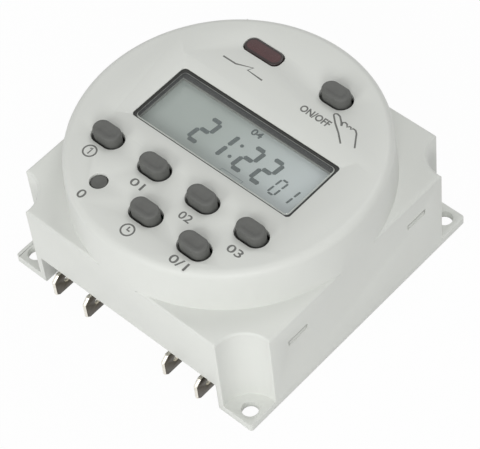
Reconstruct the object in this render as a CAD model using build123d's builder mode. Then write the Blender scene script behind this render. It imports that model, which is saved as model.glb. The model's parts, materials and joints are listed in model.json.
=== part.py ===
from build123d import *
import math
import os

# A weekly digital timer switch in a square case, 60 mm by 60 mm, with four screw ears.
# Origin: centre of the mounting plane. X runs along the reading direction of the face,
# Y runs up the face and Z points out of the face towards the user. Millimetres.

# Case
body_size = 60.0
box_height = 20.8
dial_radius = 30.3
dial_height = 9.4
wall = 1.6
face_wall = 1.6
edge_bevel = 0.35
dial_draft = 0.5
dial_shoulder = 1.7

# Corner screw channels and mounting ears
channel_radius = 6.0
channel_inset = 0.7
channel_wall = 1.3
ear_thickness = 1.8
ear_hole_radius = 1.6
ear_hole_inset = 2.7
ear_tip_round = 0.6

# Terminal bay and quick-connect tabs
bay_height = 7.4
bay_depth = 5.8
bay_wall = 1.2
bay_end_wall = 1.3
tab_width = 5.2
tab_thickness = 0.8
tab_pitch = 8.0
tab_pair_gap = 20.0
tab_reach = 7.3
tab_base = 0.6
tab_root = 6.0
tab_root_lift = 0.2
tab_foot_row = 1.4
tab_foot_pitch = 2.8
tab_top_chamfer = 1.2
tab_low_chamfer = 0.5
tab_lead_in = 0.22
tab_hole_radius = 0.75
tab_hole_from_tip = 3.2
tab_foot_width = 1.2
tab_slot_gap = 0.1

# Rear cover and its four snap arms
cover_thickness = 1.6
cover_gap = 0.15
arm_width = 4.4
arm_thickness = 1.3
arm_offset = 16.2
arm_clearance = 0.3
catch_width = 5.0
catch_height = 1.3
catch_base = 14.4
catch_gap = 0.1
catch_recess = 0.15
cover_rib_height = 1.2
cover_rib_thickness = 1.0
cover_rib_span = 31.0

# Display window
window_length = 38.0
window_width = 14.3
window_x = 0.5
window_y = 1.3
window_round = 0.9
bevel_width = 2.05
bevel_depth = 0.9
pane_thickness = 1.0
pane_lip = 1.6
pane_pocket = 0.4
pane_inset = 0.7
pane_raise = 0.25
pane_gap = 0.1

# Indicator lens
lens_length = 8.5
lens_width = 3.3
lens_x = -8.85
lens_round = 1.3
lens_rise = 0.2
lens_gap = 0.12
lens_bevel = 0.25

# Keys and their switches
key_length = 5.9
key_width = 3.6
key_gap = 0.5
key_rise = 2.0
key_row_gap = 2.35
key_side_gap = 2.34
key_low_gap = 0.52
control_row_gap = 2.63
manual_key_x = 8.7
reset_key_radius = 1.55
reset_key_sink = 0.3
reset_key_gap = 0.2
key_flange = 1.0
key_flange_thickness = 0.8
key_bevel = 0.4
key_dish_radius = 9.0
key_dish_depth = 0.18
key_rest_gap = 0.05
switch_size = 4.5
switch_body_height = 3.0
switch_bore = 2.3
plunger_side = 2.1
plunger_foot = 1.0
switch_travel = 0.5

# Display board, its bosses and screws
display_board_drop = 5.2
display_board_thickness = 1.2
board_edge_gap = 0.6
boss_radius = 1.9
boss_ring_inset = 2.2
boss_key_gap = 0.2
high_boss_angle = 38.0
screw_radius = 0.95
screw_length = 5.0
screw_head_radius = 1.8
screw_head_height = 1.3
screw_gap = 0.05
screw_tip_room = 0.5

# Liquid crystal display
frame_side = 2.05
display_drop = 3.0
glass_thickness = 0.8
glass_length = 39.0
glass_width = 15.8
glass_gap = 0.1
strip_width = 1.3
strip_gap = 0.5
strip_shorter = 2.0
reflector_thickness = 0.3

# Power board and its posts
power_board_thickness = 1.6
tab_foot_gap = 0.2
power_board_gap = 0.4
post_radius = 2.2
post_overlap = 0.4
front_post_inset = 3.0

# Relay
relay_length = 28.5
relay_width = 10.1
relay_height = 12.3
relay_x = 0.5
relay_front_gap = 6.0
relay_cover_wall = 0.6
relay_base_thickness = 1.5
relay_fit = 0.05
core_radius = 1.6
winding_radius = 3.9
bobbin_side = 8.6
bobbin_flange = 0.9
bobbin_length = 20.6
relay_end_gap = 0.45
core_stub = 1.2
bobbin_tube_wall = 0.6
yoke_thickness = 1.0
yoke_width = 7.0
armature_thickness = 1.0
armature_gap = 0.5
armature_clearance = 0.08
contact_leaf_thickness = 0.3
contact_leaf_width = 3.0
contact_radius = 0.9
contact_height = 0.5
contact_gap = 0.7
contact_rest_gap = 0.05
contact_foot_gap = 0.4
pin_width = 1.0
pin_thickness = 0.5
coil_pin_spread = 5.0
hole_gap = 0.1
lead_size = 0.6
lead_tail = 0.8

# Other components
chip_size = 10.0
chip_height = 1.4
crystal_radius = 1.0
crystal_length = 6.0
crystal_x = 7.0
crystal_y = -2.0
led_radius = 1.5
led_height = 3.8
led_bevel = 0.8
cell_radius = 5.8
cell_height = 5.4
cell_x = -11.0
cell_back_gap = 2.6
cell_strap = 0.3
cell_strap_width = 3.0
header_pins = 6
header_spacing = 2.54
header_width = 2.5
header_height = 2.5
header_x = 6.6
header_frame_gap = 1.2
film_length = 18.0
film_thickness = 7.5
film_height = 11.6
film_x = -14.2
film_y = 5.2
film_round = 0.6
film_bevel = 0.4
smoothing_radius = 4.0
smoothing_height = 11.5
smoothing_x = 3.5
smoothing_y = 20.2
varistor_radius = 4.5
varistor_thickness = 4.0
varistor_x = 20.6
varistor_y = -9.0
diode_radius = 1.35
diode_length = 5.2
diode_pitch = 3.7
diode_count = 4
diode_x = 1.2
diode_y = 5.4
fuse_radius = 1.7
fuse_length = 9.0
fuse_x = -20.0
fuse_y = -8.6
axial_lift = 0.3
axial_reach = 1.2

# Heights and outlines that follow from the sizes above
half = body_size / 2
inner_half = half - wall
face_height = box_height + dial_height
box_ceiling = box_height - wall
face_inner = face_height - face_wall
dial_top_radius = dial_radius - dial_draft
dial_cavity_radius = dial_top_radius - wall
key_reach = key_length / 2 + key_flange
frame_half_width = glass_width / 2 + frame_side
key_row_upper = window_y - frame_half_width - key_row_gap - key_width / 2
key_row_edge = key_row_upper - key_width / 2
key_steps = (-1.5, -0.5, 0.5, 1.5)
key_row_ring = dial_cavity_radius - key_side_gap
key_pitch = (math.sqrt(key_row_ring**2 - key_row_edge**2) - key_reach) / key_steps[-1]
lower_reach = key_pitch + key_reach
key_row_lower = key_width / 2 - math.sqrt((dial_cavity_radius - key_low_gap) ** 2 - lower_reach**2)
lens_reach = lens_length / 2 + key_flange
control_ring = dial_cavity_radius - control_row_gap
control_row_y = math.sqrt(control_ring**2 - (abs(lens_x) + lens_reach) ** 2) - lens_width / 2
lens_place = (lens_x, control_row_y)
channel_at = half - channel_inset
channel_reach = math.sqrt(channel_radius**2 - channel_inset**2)
ear_hole_at = half - ear_hole_inset
corners = [(sx, sy) for sx in (-1, 1) for sy in (-1, 1)]
channel_places = [(sx * channel_at, sy * channel_at) for sx, sy in corners]
ear_hole_places = [(sx * ear_hole_at, sy * ear_hole_at) for sx, sy in corners]
bay_half_width = channel_at - channel_reach - bay_end_wall
bay_back = -half + bay_depth
bay_inner = bay_back + bay_wall
bay_roof = bay_height + bay_wall
tab_places = [side * (tab_pair_gap / 2 + step * tab_pitch) for side in (-1, 1) for step in (0, 1)]
tab_places.sort()
tab_tip = bay_back - tab_reach
tab_top = tab_base + tab_width
tab_inner_end = bay_inner + tab_root
tab_root_base = cover_thickness + tab_root_lift
power_board_bottom = tab_top + tab_foot_gap
power_board_top = power_board_bottom + power_board_thickness
arm_outer = inner_half - cover_gap
arm_inner = arm_outer - arm_thickness
board_half_x = arm_inner - arm_clearance
board_front = bay_inner + power_board_gap
board_back = inner_half - power_board_gap
board_middle = (board_front + board_back) / 2
tab_foot_rows = [board_front + tab_foot_row + step * tab_foot_pitch for step in (0, 1)]
display_board_top = face_inner - display_board_drop
display_board_bottom = display_board_top - display_board_thickness
board_radius = dial_cavity_radius - board_edge_gap
boss_ring = dial_cavity_radius - boss_ring_inset
boss_high_x = boss_ring * math.cos(math.radians(high_boss_angle))
boss_high_y = boss_ring * math.sin(math.radians(high_boss_angle))
boss_low_x = lower_reach + boss_key_gap + boss_radius
boss_low_y = -math.sqrt(boss_ring**2 - boss_low_x**2)
screw_boss_places = [(-boss_high_x, boss_high_y), (boss_low_x, boss_low_y)]
plain_boss_places = [(boss_high_x, boss_high_y), (-boss_low_x, boss_low_y)]
rear_post_at = channel_at - (channel_radius + channel_wall + post_radius - post_overlap) / math.sqrt(2)
front_post_x = inner_half - 2 * post_radius
front_post_y = board_front + front_post_inset
screw_post_places = [(side * rear_post_at, rear_post_at) for side in (-1, 1)]
plain_post_places = [(side * front_post_x, front_post_y) for side in (-1, 1)]
bevel_length = window_length + 2 * bevel_width
bevel_height = window_width + 2 * bevel_width
pane_top = face_inner + pane_pocket
pane_bottom = pane_top - pane_thickness
pane_length = window_length + 2 * pane_lip
pane_width = window_width + 2 * pane_lip
view_length = window_length - 2 * pane_inset
view_width = window_width - 2 * pane_inset
frame_top = pane_bottom - pane_gap / 2
rear_glass_width = glass_width - 2 * (strip_width + strip_gap)
glass_top = face_height - display_drop
key_flange_top = face_inner - key_rest_gap
key_flange_bottom = key_flange_top - key_flange_thickness
key_places = {
    "key_program": (key_steps[0] * key_pitch, key_row_upper),
    "key_day": (key_steps[1] * key_pitch, key_row_upper),
    "key_hour": (key_steps[2] * key_pitch, key_row_upper),
    "key_minute": (key_steps[3] * key_pitch, key_row_upper),
    "key_clock": (0.0, key_row_lower),
    "key_recall": (key_pitch, key_row_lower),
    "key_manual": (manual_key_x, control_row_y),
}
reset_key_place = (-key_pitch, key_row_lower)
switch_places = list(key_places.values()) + [reset_key_place]
screw_hole_radius = screw_radius + screw_gap
relay_y = board_front + relay_front_gap + relay_width / 2
relay_floor = power_board_top + relay_base_thickness
relay_inner_length = relay_length - 2 * relay_cover_wall
relay_inner_width = relay_width - 2 * relay_cover_wall
coil_z = relay_floor + bobbin_side / 2
yoke_left = relay_x - relay_inner_length / 2 + relay_end_gap
yoke_top = relay_floor + bobbin_side + yoke_thickness
bobbin_left = yoke_left + yoke_thickness
bobbin_right = bobbin_left + bobbin_length
core_face = bobbin_right + core_stub
armature_face = core_face + armature_gap
yoke_end = armature_face - armature_clearance
hinge_z = yoke_top - yoke_thickness / 2
leaf_face = armature_face + armature_thickness
leaf_low = relay_floor + contact_foot_gap
contact_z = leaf_low + contact_radius
armature_low = contact_z + contact_radius + contact_rest_gap * 2
open_face = leaf_face - contact_height - contact_gap
closed_face = leaf_face + contact_leaf_thickness + contact_height + contact_rest_gap
open_pin_x = open_face - contact_height - pin_thickness / 2
closed_pin_x = closed_face + contact_height + pin_thickness / 2
coil_pin_places = [(bobbin_left + pin_width, relay_y + side * coil_pin_spread / 2) for side in (-1, 1)]
pin_places = coil_pin_places + [(open_pin_x, relay_y), (closed_pin_x, relay_y)]
film_leads = [(film_x + side * (film_length / 2 - film_round - lead_size), film_y) for side in (-1, 1)]
cell_y = board_back - cell_radius - cell_back_gap
smoothing_leads = [(smoothing_x + side * smoothing_radius / 2, smoothing_y) for side in (-1, 1)]
varistor_leads = [(varistor_x, varistor_y + side * varistor_radius / 2) for side in (-1, 1)]
diode_places = [(diode_x + step * diode_pitch, diode_y) for step in range(diode_count)]
axial_places = [(x, y, diode_length) for x, y in diode_places] + [(fuse_x, fuse_y, fuse_length)]
axial_leads = [
    (x, y + side * (length / 2 + axial_reach - lead_size / 2))
    for x, y, length in axial_places
    for side in (-1, 1)
]
lead_places = film_leads + smoothing_leads + varistor_leads + axial_leads
header_y = window_y + frame_half_width + header_frame_gap
header_places = [
    (header_x + (step - (header_pins - 1) / 2) * header_spacing, header_y) for step in range(header_pins)
]


def save(part, name):
    """Label a finished piece and write its STEP file."""
    part.label = name
    export_step(part, f"parts/{name}.step")


os.makedirs("parts", exist_ok=True)

# The dial is turned, rounded at its shoulder and cut flush with the case where it overhangs the walls
with BuildPart() as dial:
    with BuildSketch(Plane.XZ):
        with BuildLine():
            Polyline(
                (0, box_ceiling),
                (dial_radius, box_ceiling),
                (dial_radius, box_height),
                (dial_top_radius, face_height),
                (0, face_height),
                close=True,
            )
        make_face()
    revolve(axis=Axis.Z)
    fillet(dial.edges().filter_by(GeomType.CIRCLE).group_by(Axis.Z)[-1], dial_shoulder)
    with BuildSketch():
        Rectangle(body_size, body_size)
    extrude(amount=face_height, mode=Mode.INTERSECT)

with BuildPart() as front_housing:
    # Square box with a half-round screw channel down each corner
    with BuildSketch():
        Rectangle(body_size, body_size)
        with Locations(*channel_places):
            Circle(channel_radius, mode=Mode.SUBTRACT)
    extrude(amount=box_height)
    chamfer(front_housing.faces().sort_by(Axis.Z)[-1].edges(), edge_bevel)
    add(dial.part)
    # Hollow above the bay roof, hollow behind the bay, and the hollow of the dial
    with BuildSketch(Plane.XY.offset(bay_roof)):
        Rectangle(2 * inner_half, 2 * inner_half)
        with Locations(*channel_places):
            Circle(channel_radius + channel_wall, mode=Mode.SUBTRACT)
    extrude(amount=box_ceiling - bay_roof, mode=Mode.SUBTRACT)
    with BuildSketch():
        with Locations((0, (bay_inner + inner_half) / 2)):
            Rectangle(2 * inner_half, inner_half - bay_inner)
        with Locations(*channel_places):
            Circle(channel_radius + channel_wall, mode=Mode.SUBTRACT)
    extrude(amount=bay_roof, mode=Mode.SUBTRACT)
    with BuildSketch(Plane.XY.offset(box_ceiling)):
        Circle(dial_cavity_radius)
        Rectangle(2 * inner_half, 2 * inner_half, mode=Mode.INTERSECT)
    extrude(amount=face_inner - box_ceiling, mode=Mode.SUBTRACT)
    # Terminal bay, open to the front wall and to the back
    with BuildSketch():
        with Locations((0, (bay_back - half) / 2)):
            Rectangle(2 * bay_half_width, bay_depth)
    extrude(amount=bay_height, mode=Mode.SUBTRACT)
    with BuildSketch():
        with Locations(*[(x, (bay_back + bay_inner) / 2) for x in tab_places]):
            Rectangle(tab_thickness + 2 * tab_slot_gap, bay_wall)
    extrude(amount=tab_top + tab_slot_gap, mode=Mode.SUBTRACT)
    # Mounting ears at the foot of the channels
    with BuildSketch():
        with Locations(*channel_places):
            Circle(channel_radius + channel_wall / 2)
        RectangleRounded(body_size, body_size, ear_tip_round, mode=Mode.INTERSECT)
    extrude(amount=ear_thickness)
    with BuildSketch():
        with Locations(*ear_hole_places):
            Circle(ear_hole_radius)
    extrude(amount=ear_thickness, mode=Mode.SUBTRACT)
    # Bosses for the display board and posts for the power board
    with BuildSketch(Plane.XY.offset(display_board_top)):
        with Locations(*screw_boss_places):
            Circle(boss_radius)
        with Locations(*plain_boss_places):
            Rectangle(2 * boss_radius, 2 * boss_radius)
    extrude(amount=face_inner - display_board_top)
    with BuildSketch(Plane.XY.offset(power_board_top)):
        with Locations(*screw_post_places):
            Circle(post_radius)
        with Locations(*plain_post_places):
            Rectangle(2 * post_radius, 2 * post_radius)
    extrude(amount=box_ceiling - power_board_top)
    with BuildSketch(Plane.XY.offset(display_board_top)):
        with Locations(*screw_boss_places):
            Circle(screw_hole_radius)
    extrude(amount=screw_length - display_board_thickness + screw_tip_room, mode=Mode.SUBTRACT)
    with BuildSketch(Plane.XY.offset(power_board_top)):
        with Locations(*screw_post_places):
            Circle(screw_hole_radius)
    extrude(amount=screw_length - power_board_thickness + screw_tip_room, mode=Mode.SUBTRACT)
    # Snap windows in the side walls
    with BuildSketch(Plane.XY.offset(catch_base)):
        with GridLocations(2 * half - wall, 2 * arm_offset, 2, 2):
            Rectangle(wall, catch_width)
    extrude(amount=catch_height, mode=Mode.SUBTRACT)
    # Window opening with its sloped surround and the pocket for the pane
    with BuildSketch(Plane.XY.offset(face_inner)):
        with Locations((window_x, window_y)):
            RectangleRounded(window_length, window_width, window_round)
    extrude(amount=face_wall, mode=Mode.SUBTRACT)
    with BuildSketch(Plane.XY.offset(face_inner)):
        with Locations((window_x, window_y)):
            Rectangle(pane_length + 2 * pane_gap, pane_width + 2 * pane_gap)
    extrude(amount=pane_pocket, mode=Mode.SUBTRACT)
    with BuildSketch(Plane.XY.offset(face_height - bevel_depth)):
        with Locations((window_x, window_y)):
            Rectangle(window_length, window_width)
    with BuildSketch(Plane.XY.offset(face_height)):
        with Locations((window_x, window_y)):
            Rectangle(bevel_length, bevel_height)
    loft(ruled=True, mode=Mode.SUBTRACT)
    # Holes for the keys and the lens
    with BuildSketch(Plane.XY.offset(face_inner)):
        with Locations(*key_places.values()):
            SlotOverall(key_length + 2 * key_gap, key_width + 2 * key_gap)
        with Locations(reset_key_place):
            Circle(reset_key_radius + reset_key_gap)
        with Locations(lens_place):
            RectangleRounded(lens_length + 2 * lens_gap, lens_width + 2 * lens_gap, lens_round + lens_gap)
    extrude(amount=face_wall, mode=Mode.SUBTRACT)
save(front_housing.part, "front_housing")

with BuildPart() as display_window:
    with BuildSketch(Plane.XY.offset(pane_bottom)):
        with Locations((window_x, window_y)):
            Rectangle(pane_length, pane_width)
    extrude(amount=pane_thickness)
    with BuildSketch(Plane.XY.offset(pane_top)):
        with Locations((window_x, window_y)):
            RectangleRounded(view_length, view_width, window_round)
    extrude(amount=pane_raise)
save(display_window.part, "display_window")

with BuildPart() as indicator_lens:
    with BuildSketch(Plane.XY.offset(face_inner - key_flange_thickness)):
        with Locations(lens_place):
            Rectangle(2 * lens_reach, lens_width)
    extrude(amount=key_flange_thickness)
    with BuildSketch(Plane.XY.offset(face_inner)):
        with Locations(lens_place):
            RectangleRounded(lens_length, lens_width, lens_round)
    extrude(amount=face_wall + lens_rise)
    chamfer(indicator_lens.faces().sort_by(Axis.Z)[-1].edges(), lens_bevel)
save(indicator_lens.part, "indicator_lens")

# Keys: a foot longer than its hole keeps each one in, and its crown is dished across its width
for name, (key_x, key_y) in key_places.items():
    with BuildPart() as key:
        with BuildSketch(Plane((key_x, key_y, key_flange_bottom))):
            Rectangle(2 * key_reach, key_width)
        extrude(amount=key_flange_thickness)
        with BuildSketch(Plane((key_x, key_y, key_flange_top))):
            SlotOverall(key_length, key_width)
        extrude(amount=face_height + key_rise - key_flange_top)
        chamfer(key.faces().sort_by(Axis.Z)[-1].edges(), key_bevel)
        with BuildSketch(Plane.YZ.offset(key_x - key_length / 2)):
            with Locations((key_y, face_height + key_rise + key_dish_radius - key_dish_depth)):
                Circle(key_dish_radius)
        extrude(amount=key_length, mode=Mode.SUBTRACT)
    save(key.part, name)

with BuildPart() as key_reset:
    with BuildSketch(Plane((*reset_key_place, key_flange_bottom))):
        Rectangle(2 * (reset_key_radius + key_flange), 2 * (reset_key_radius + key_flange))
    extrude(amount=key_flange_thickness)
    with BuildSketch(Plane((*reset_key_place, key_flange_top))):
        Circle(reset_key_radius)
    extrude(amount=face_height - reset_key_sink - key_flange_top)
    chamfer(key_reset.faces().sort_by(Axis.Z)[-1].edges(), key_bevel / 2)
save(key_reset.part, "key_reset")

# Switches under the keys: one housing and one plunger each
with BuildPart() as switch_housings:
    with BuildSketch(Plane.XY.offset(display_board_top)):
        with Locations(*switch_places):
            Rectangle(switch_size, switch_size)
    extrude(amount=switch_body_height)
    with BuildSketch(Plane.XY.offset(display_board_top + switch_body_height)):
        with Locations(*switch_places):
            Rectangle(switch_bore, switch_bore)
    extrude(amount=-(plunger_foot + 2 * switch_travel), mode=Mode.SUBTRACT)
save(switch_housings.part, "switch_housings")

plunger_names = [name.replace("key", "plunger") for name in key_places] + ["plunger_reset"]
for name, place in zip(plunger_names, switch_places):
    with BuildPart() as plunger:
        with BuildSketch(Plane((*place, display_board_top + switch_body_height - plunger_foot))):
            Rectangle(plunger_side, plunger_side)
        extrude(amount=key_flange_bottom - display_board_top - switch_body_height + plunger_foot)
    save(plunger.part, name)

with BuildPart() as display_board:
    with BuildSketch(Plane.XY.offset(display_board_bottom)):
        Circle(board_radius)
        Rectangle(2 * (inner_half - board_edge_gap), 2 * (inner_half - board_edge_gap), mode=Mode.INTERSECT)
        with Locations(*screw_boss_places):
            Circle(screw_hole_radius, mode=Mode.SUBTRACT)
        with Locations(*header_places):
            Rectangle(lead_size + 2 * hole_gap, lead_size + 2 * hole_gap, mode=Mode.SUBTRACT)
    extrude(amount=display_board_thickness)
save(display_board.part, "display_board")


def build_screws(places, seat):
    """Pan-head screws driven upwards, with their heads against a board's underside."""
    with BuildPart() as screws:
        with BuildSketch(Plane.XY.offset(seat - screw_head_height)):
            with Locations(*places):
                Circle(screw_head_radius)
        extrude(amount=screw_head_height)
        with BuildSketch(Plane.XY.offset(seat)):
            with Locations(*places):
                Circle(screw_radius)
        extrude(amount=screw_length)
    return screws.part


save(build_screws(screw_boss_places, display_board_bottom), "display_board_screws")
save(build_screws(screw_post_places, power_board_bottom), "power_board_screws")

# Liquid crystal display: frame, two glasses, reflector, pad and the two conductive strips
display_centre = (window_x, window_y)
front_glass_bottom = glass_top - glass_thickness
rear_glass_bottom = front_glass_bottom - glass_thickness
reflector_bottom = rear_glass_bottom - reflector_thickness
with BuildPart() as lcd_frame:
    with BuildSketch(Plane.XY.offset(display_board_top)):
        with Locations(display_centre):
            Rectangle(glass_length + 2 * frame_side, 2 * frame_half_width)
    extrude(amount=frame_top - display_board_top)
    with BuildSketch(Plane.XY.offset(display_board_top)):
        with Locations(display_centre):
            Rectangle(glass_length + 2 * glass_gap, glass_width + 2 * glass_gap)
    extrude(amount=glass_top - display_board_top, mode=Mode.SUBTRACT)
    with BuildSketch(Plane.XY.offset(glass_top)):
        with Locations(display_centre):
            Rectangle(view_length, view_width)
    extrude(amount=frame_top - glass_top, mode=Mode.SUBTRACT)
save(lcd_frame.part, "lcd_frame")

display_layers = {
    "lcd_front_glass": (front_glass_bottom, glass_thickness, glass_width),
    "lcd_rear_glass": (rear_glass_bottom, glass_thickness, rear_glass_width),
    "lcd_reflector": (reflector_bottom, reflector_thickness, rear_glass_width),
    "lcd_pad": (display_board_top, reflector_bottom - display_board_top, rear_glass_width),
}
for name, (bottom, thickness, width) in display_layers.items():
    with BuildPart() as layer:
        with BuildSketch(Plane.XY.offset(bottom)):
            with Locations(display_centre):
                Rectangle(glass_length, width)
        extrude(amount=thickness)
    save(layer.part, name)

with BuildPart() as lcd_contact_strips:
    with BuildSketch(Plane.XY.offset(display_board_top)):
        with Locations(display_centre):
            with GridLocations(0, glass_width - strip_width, 1, 2):
                Rectangle(glass_length - strip_shorter, strip_width)
    extrude(amount=front_glass_bottom - display_board_top)
save(lcd_contact_strips.part, "lcd_contact_strips")

with BuildPart() as controller_chip:
    with BuildSketch(Plane.XY.offset(display_board_bottom - chip_height)):
        Rectangle(chip_size, chip_size)
    extrude(amount=chip_height)
    chamfer(controller_chip.faces().sort_by(Axis.Z)[0].edges(), chip_height / 4)
save(controller_chip.part, "controller_chip")

with BuildPart() as timing_crystal:
    with BuildSketch(Plane.YZ.offset(crystal_x)):
        with Locations((crystal_y, display_board_bottom - crystal_radius)):
            Circle(crystal_radius)
    extrude(amount=crystal_length)
save(timing_crystal.part, "timing_crystal")

with BuildPart() as indicator_led:
    with BuildSketch(Plane((*lens_place, display_board_top))):
        Circle(led_radius)
    extrude(amount=led_height)
    chamfer(indicator_led.faces().sort_by(Axis.Z)[-1].edges(), led_bevel)
save(indicator_led.part, "indicator_led")

# Rear cover: plate inside the walls, snap arms with hooks, tongues under the tabs, stiffening ribs
with BuildPart() as rear_cover:
    with BuildSketch():
        with Locations((0, (bay_inner + inner_half) / 2)):
            Rectangle(2 * (inner_half - cover_gap), inner_half - bay_inner - 2 * cover_gap)
        with Locations(*channel_places):
            Circle(channel_radius + channel_wall + cover_gap, mode=Mode.SUBTRACT)
    extrude(amount=cover_thickness)
    with BuildSketch():
        with Locations(*[(x, bay_inner) for x in tab_places]):
            Rectangle(tab_thickness, 2 * bay_wall)
    extrude(amount=tab_base)
    with BuildSketch():
        with GridLocations(arm_outer + arm_inner, 2 * arm_offset, 2, 2):
            Rectangle(arm_thickness, arm_width)
    extrude(amount=catch_base + catch_height)
    for side_x, side_y in corners:
        with BuildSketch(Plane.XZ.offset(-side_y * arm_offset - arm_width / 2)):
            with BuildLine():
                Polyline(
                    (side_x * arm_outer, catch_base),
                    (side_x * (half - catch_recess), catch_base),
                    (side_x * (half - catch_recess), catch_base + catch_height / 2),
                    (side_x * arm_outer, catch_base + catch_height - catch_gap),
                    close=True,
                )
            make_face()
        extrude(amount=arm_width)
    with BuildSketch(Plane.XY.offset(cover_thickness)):
        Rectangle(cover_rib_span, cover_rib_span)
        offset(amount=-cover_rib_thickness, mode=Mode.SUBTRACT)
    extrude(amount=cover_rib_height)
save(rear_cover.part, "rear_cover")

# Quick-connect tabs: an upright blade with chamfered corners, a hole, and two feet through the board
for number, tab_x in enumerate(tab_places, start=1):
    with BuildPart() as tab:
        with BuildSketch(Plane.YZ.offset(tab_x - tab_thickness / 2)):
            with BuildLine():
                Polyline(
                    (tab_tip, tab_base + tab_low_chamfer),
                    (tab_tip + tab_low_chamfer, tab_base),
                    (bay_inner, tab_base),
                    (bay_inner, tab_root_base),
                    (tab_inner_end, tab_root_base),
                    (tab_inner_end, tab_top),
                    (tab_tip + tab_top_chamfer, tab_top),
                    (tab_tip, tab_top - tab_top_chamfer),
                    close=True,
                )
            make_face()
            with Locations((tab_tip + tab_hole_from_tip, tab_base + tab_width / 2)):
                Circle(tab_hole_radius, mode=Mode.SUBTRACT)
            with Locations(*[(y, (tab_top + power_board_top + lead_tail) / 2) for y in tab_foot_rows]):
                Rectangle(tab_foot_width, power_board_top + lead_tail - tab_top)
        extrude(amount=tab_thickness)
        tip_edges = tab.edges().filter_by_position(Axis.Y, tab_tip, tab_tip + tab_top_chamfer)
        chamfer(tip_edges.filter_by(Axis.X, reverse=True), tab_lead_in)
    save(tab.part, f"terminal_tab_{number}")

with BuildPart() as power_board:
    with BuildSketch(Plane.XY.offset(power_board_bottom)):
        with Locations((0, board_middle)):
            Rectangle(2 * board_half_x, board_back - board_front)
        with Locations(*channel_places):
            Circle(channel_radius + channel_wall + power_board_gap, mode=Mode.SUBTRACT)
        with Locations(*screw_post_places):
            Circle(screw_hole_radius, mode=Mode.SUBTRACT)
        with Locations(*[(x, y) for x in tab_places for y in tab_foot_rows]):
            Rectangle(tab_thickness + 2 * hole_gap, tab_foot_width + 2 * hole_gap, mode=Mode.SUBTRACT)
        with Locations(*pin_places):
            Rectangle(pin_thickness + 2 * hole_gap, pin_width + 2 * hole_gap, mode=Mode.SUBTRACT)
        with Locations(*lead_places, *header_places):
            Rectangle(lead_size + 2 * hole_gap, lead_size + 2 * hole_gap, mode=Mode.SUBTRACT)
    extrude(amount=power_board_thickness)
save(power_board.part, "power_board")

# Relay: base, cover, coil, core, yoke, hinged armature with its contact leaf, and the fixed contacts
with BuildPart() as relay_base:
    with BuildSketch(Plane.XY.offset(power_board_top)):
        with Locations((relay_x, relay_y)):
            Rectangle(relay_inner_length - 2 * relay_fit, relay_inner_width - 2 * relay_fit)
        with Locations(*pin_places):
            Rectangle(pin_thickness, pin_width, mode=Mode.SUBTRACT)
    extrude(amount=relay_base_thickness)
save(relay_base.part, "relay_base")

with BuildPart() as relay_cover:
    with BuildSketch(Plane.XY.offset(power_board_top)):
        with Locations((relay_x, relay_y)):
            Rectangle(relay_length, relay_width)
    extrude(amount=relay_height)
    fillet(relay_cover.edges().filter_by(Axis.Z), relay_cover_wall)
    with BuildSketch(Plane.XY.offset(power_board_top)):
        with Locations((relay_x, relay_y)):
            Rectangle(relay_inner_length, relay_inner_width)
    extrude(amount=relay_height - relay_cover_wall, mode=Mode.SUBTRACT)
save(relay_cover.part, "relay_cover")

with BuildPart() as relay_bobbin:
    with BuildSketch(Plane.YZ.offset(bobbin_left)):
        with Locations((relay_y, coil_z)):
            Rectangle(bobbin_side, bobbin_side)
    extrude(amount=bobbin_flange)
    with BuildSketch(Plane.YZ.offset(bobbin_right)):
        with Locations((relay_y, coil_z)):
            Rectangle(bobbin_side, bobbin_side)
    extrude(amount=-bobbin_flange)
    with BuildSketch(Plane.YZ.offset(bobbin_left)):
        with Locations((relay_y, coil_z)):
            Circle(core_radius + bobbin_tube_wall)
    extrude(amount=bobbin_length)
    with BuildSketch(Plane.YZ.offset(bobbin_left)):
        with Locations((relay_y, coil_z)):
            Circle(core_radius)
    extrude(amount=bobbin_length, mode=Mode.SUBTRACT)
save(relay_bobbin.part, "relay_bobbin")

with BuildPart() as relay_winding:
    with BuildSketch(Plane.YZ.offset(bobbin_left + bobbin_flange)):
        with Locations((relay_y, coil_z)):
            Circle(winding_radius)
            Circle(core_radius + bobbin_tube_wall, mode=Mode.SUBTRACT)
    extrude(amount=bobbin_length - 2 * bobbin_flange)
save(relay_winding.part, "relay_winding")

with BuildPart() as relay_core:
    with BuildSketch(Plane.YZ.offset(yoke_left)):
        with Locations((relay_y, coil_z)):
            Circle(core_radius)
    extrude(amount=core_face - yoke_left)
save(relay_core.part, "relay_core")

with BuildPart() as relay_yoke:
    with BuildSketch(Plane.XZ.offset(-relay_y - yoke_width / 2)):
        with BuildLine():
            Polyline(
                (yoke_left, relay_floor + yoke_thickness),
                (yoke_left, yoke_top),
                (yoke_end, yoke_top),
                (yoke_end, yoke_top - yoke_thickness),
                (bobbin_left, yoke_top - yoke_thickness),
                (bobbin_left, relay_floor + yoke_thickness),
                close=True,
            )
        make_face()
    extrude(amount=yoke_width)
    with BuildSketch(Plane.YZ.offset(yoke_left)):
        with Locations((relay_y, coil_z)):
            Circle(core_radius)
    extrude(amount=yoke_thickness, mode=Mode.SUBTRACT)
save(relay_yoke.part, "relay_yoke")

with BuildPart() as relay_armature:
    with BuildSketch(Plane.YZ.offset(armature_face)):
        with Locations((relay_y, (armature_low + yoke_top) / 2)):
            Rectangle(yoke_width, yoke_top - armature_low)
    extrude(amount=armature_thickness)
save(relay_armature.part, "relay_armature")

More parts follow.
